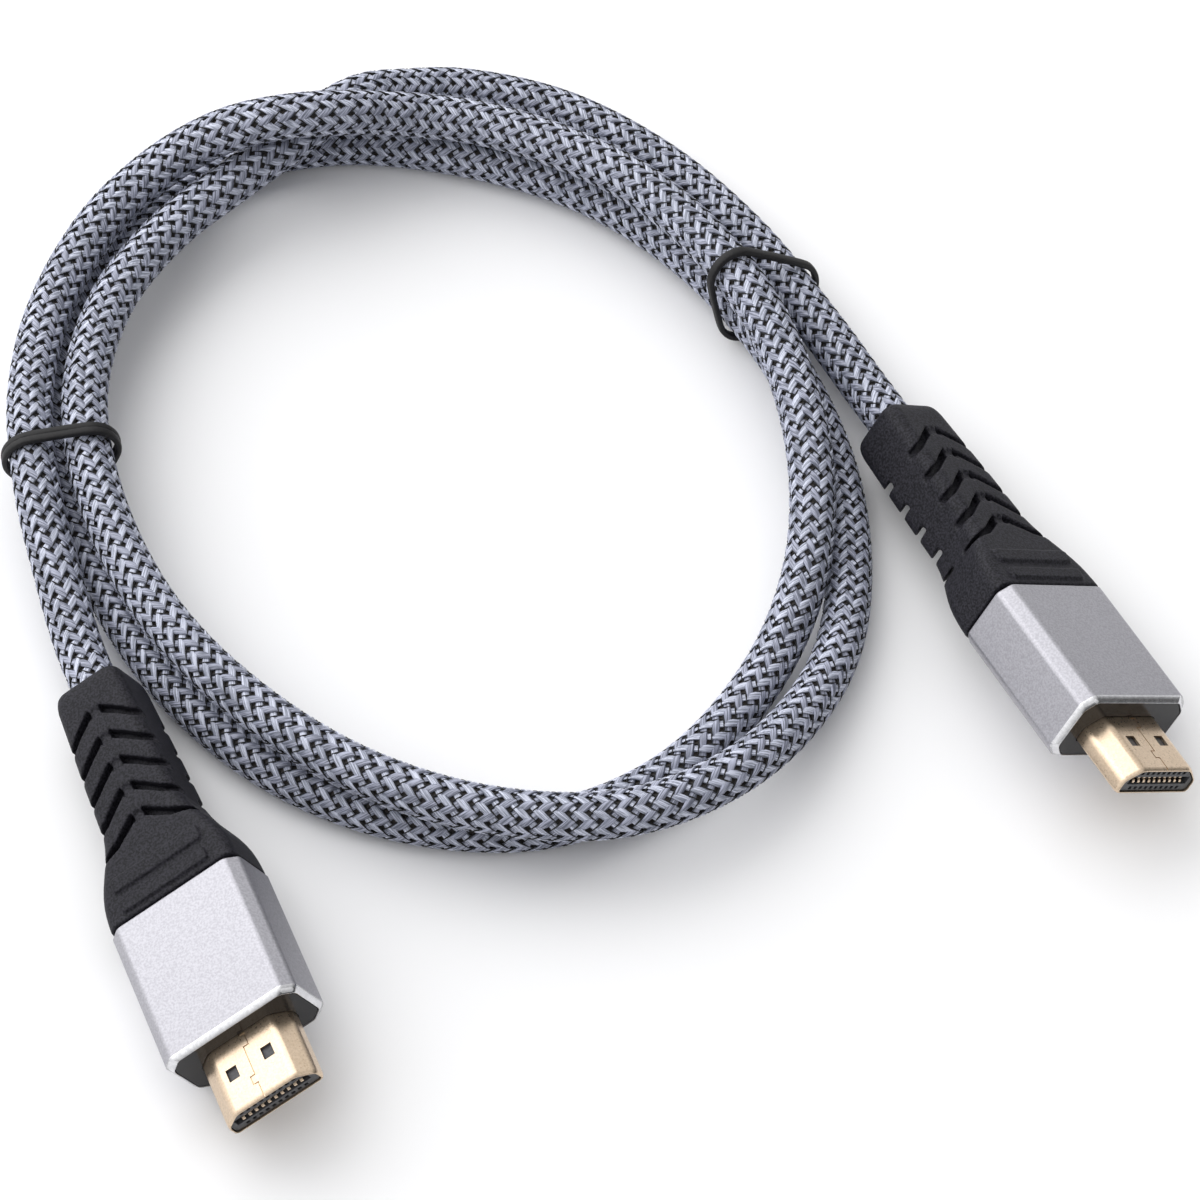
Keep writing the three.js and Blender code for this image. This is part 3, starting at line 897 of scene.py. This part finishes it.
def makeGrainy(name, dark, light, roughness, metallic, grain, bump, specular=0.5):
    material, shader = newMaterial(name, Metallic=metallic)
    shader.inputs["Specular IOR Level"].default_value = specular
    place = addNode(material, "ShaderNodeTexCoord")
    noise = addNode(material, "ShaderNodeTexNoise", "grain", Scale=1 / (grain * mm), Detail=2)
    colours = addNode(material, "ShaderNodeValToRGB", "grain colours")
    for stop, position, colour in zip(colours.color_ramp.elements, grainLook["ramp"], (dark, light)):
        stop.position = position
        stop.color = colour
    gloss = addNode(material, "ShaderNodeMapRange", "grain gloss")
    gloss.inputs["To Min"].default_value = roughness[0]
    gloss.inputs["To Max"].default_value = roughness[1]
    relief = addNode(
        material, "ShaderNodeBump", "grain relief", Strength=bump, Distance=grainLook["height"] * mm)
    link(material, place.outputs["Object"], noise.inputs["Vector"])
    link(material, noise.outputs["Fac"], colours.inputs["Fac"])
    link(material, colours.outputs["Color"], shader.inputs["Base Color"])
    link(material, noise.outputs["Fac"], gloss.inputs["Value"])
    link(material, gloss.outputs["Result"], shader.inputs["Roughness"])
    link(material, noise.outputs["Fac"], relief.inputs["Height"])
    link(material, relief.outputs["Normal"], shader.inputs["Normal"])
    return material


bootPlastic = makeGrainy(
    "bootPlastic", (0.003, 0.003, 0.005, 1), (0.026, 0.025, 0.033, 1), (0.5, 0.7), 0, 0.3, 0.7, 0.2)
blastedAluminium = makeGrainy(
    "blastedAluminium", (0.37, 0.365, 0.395, 1), (0.47, 0.465, 0.5, 1), (0.46, 0.56), 1, 0.28, 0.25)
polishedAluminium = makeGrainy(
    "polishedAluminium", (0.62, 0.62, 0.64, 1), (0.72, 0.72, 0.74, 1), (0.12, 0.2), 1, 0.6, 0.03)
goldPlate = makeGrainy(
    "goldPlate", (0.6, 0.47, 0.34, 1), (0.7, 0.56, 0.42, 1), (0.24, 0.34), 1, 0.3, 0.1)
glossBlack = makeGrainy(
    "glossBlack", (0.008, 0.008, 0.01, 1), (0.014, 0.014, 0.016, 1), (0.14, 0.24), 0, 1.5, 0.02, 0.35)
contactCarrier = makeGrainy(
    "contactCarrier", (0.045, 0.045, 0.05, 1), (0.075, 0.075, 0.08, 1), (0.4, 0.55), 0, 0.4, 0.1)
tieRubber = makeGrainy(
    "tieRubber", (0.006, 0.006, 0.007, 1), (0.014, 0.013, 0.014, 1), (0.5, 0.65), 0, 0.3, 0.2, 0.35)

placeOnPlugs("Boot", makeBoot(), [bootPlastic], "boot", "boot")
placeOnPlugs("Sleeve", makeSleeve(), [blastedAluminium, polishedAluminium], "sleeve", "sleeve")
placeOnPlugs("Shell", makeShell(), [goldPlate], "gold", "connector_shell")
placeOnPlugs("FacePlate", makeFacePlate(), [glossBlack], "gloss_black", "face_plate")
placeOnPlugs("Carrier", makeCarrier(), [contactCarrier], "gloss_black", "insulator")
for count, height, side in carrier["rows"]:
    row = "upper" if side > 0 else "lower"
    contacts = [f"contact_{row}_{i + 1}" for i in range(count)]
    placeOnPlugs(row.capitalize() + "Springs", makeSprings(count, side), [goldPlate], "gold", *contacts)

# Rubber ties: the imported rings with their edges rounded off

tie = {"mergeWithin": 0.002, "roundings": 2}


def makeTie(side):
    bm = bmesh.new()
    bm.from_mesh(nodes[f"{side}_tie"].data)
    bmesh.ops.remove_doubles(bm, verts=bm.verts[:], dist=tie["mergeWithin"] * mm)
    bmesh.ops.join_triangles(
        bm, faces=bm.faces[:], angle_face_threshold=0.1, angle_shape_threshold=math.pi, cmp_seam=False)
    piece = newPiece(f"{side}Tie", newMesh(f"{side}Tie", bm), [tieRubber])
    rounding = piece.modifiers.new("rounding", "SUBSURF")
    rounding.levels = tie["roundings"]
    rounding.render_levels = tie["roundings"]
    bakeModifiers(piece)
    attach(piece, "root")
    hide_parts(f"{side}_tie")


for side in plugs:
    makeTie(side)
print("ties made")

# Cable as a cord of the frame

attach(cableCore, "root")
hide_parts("cable")
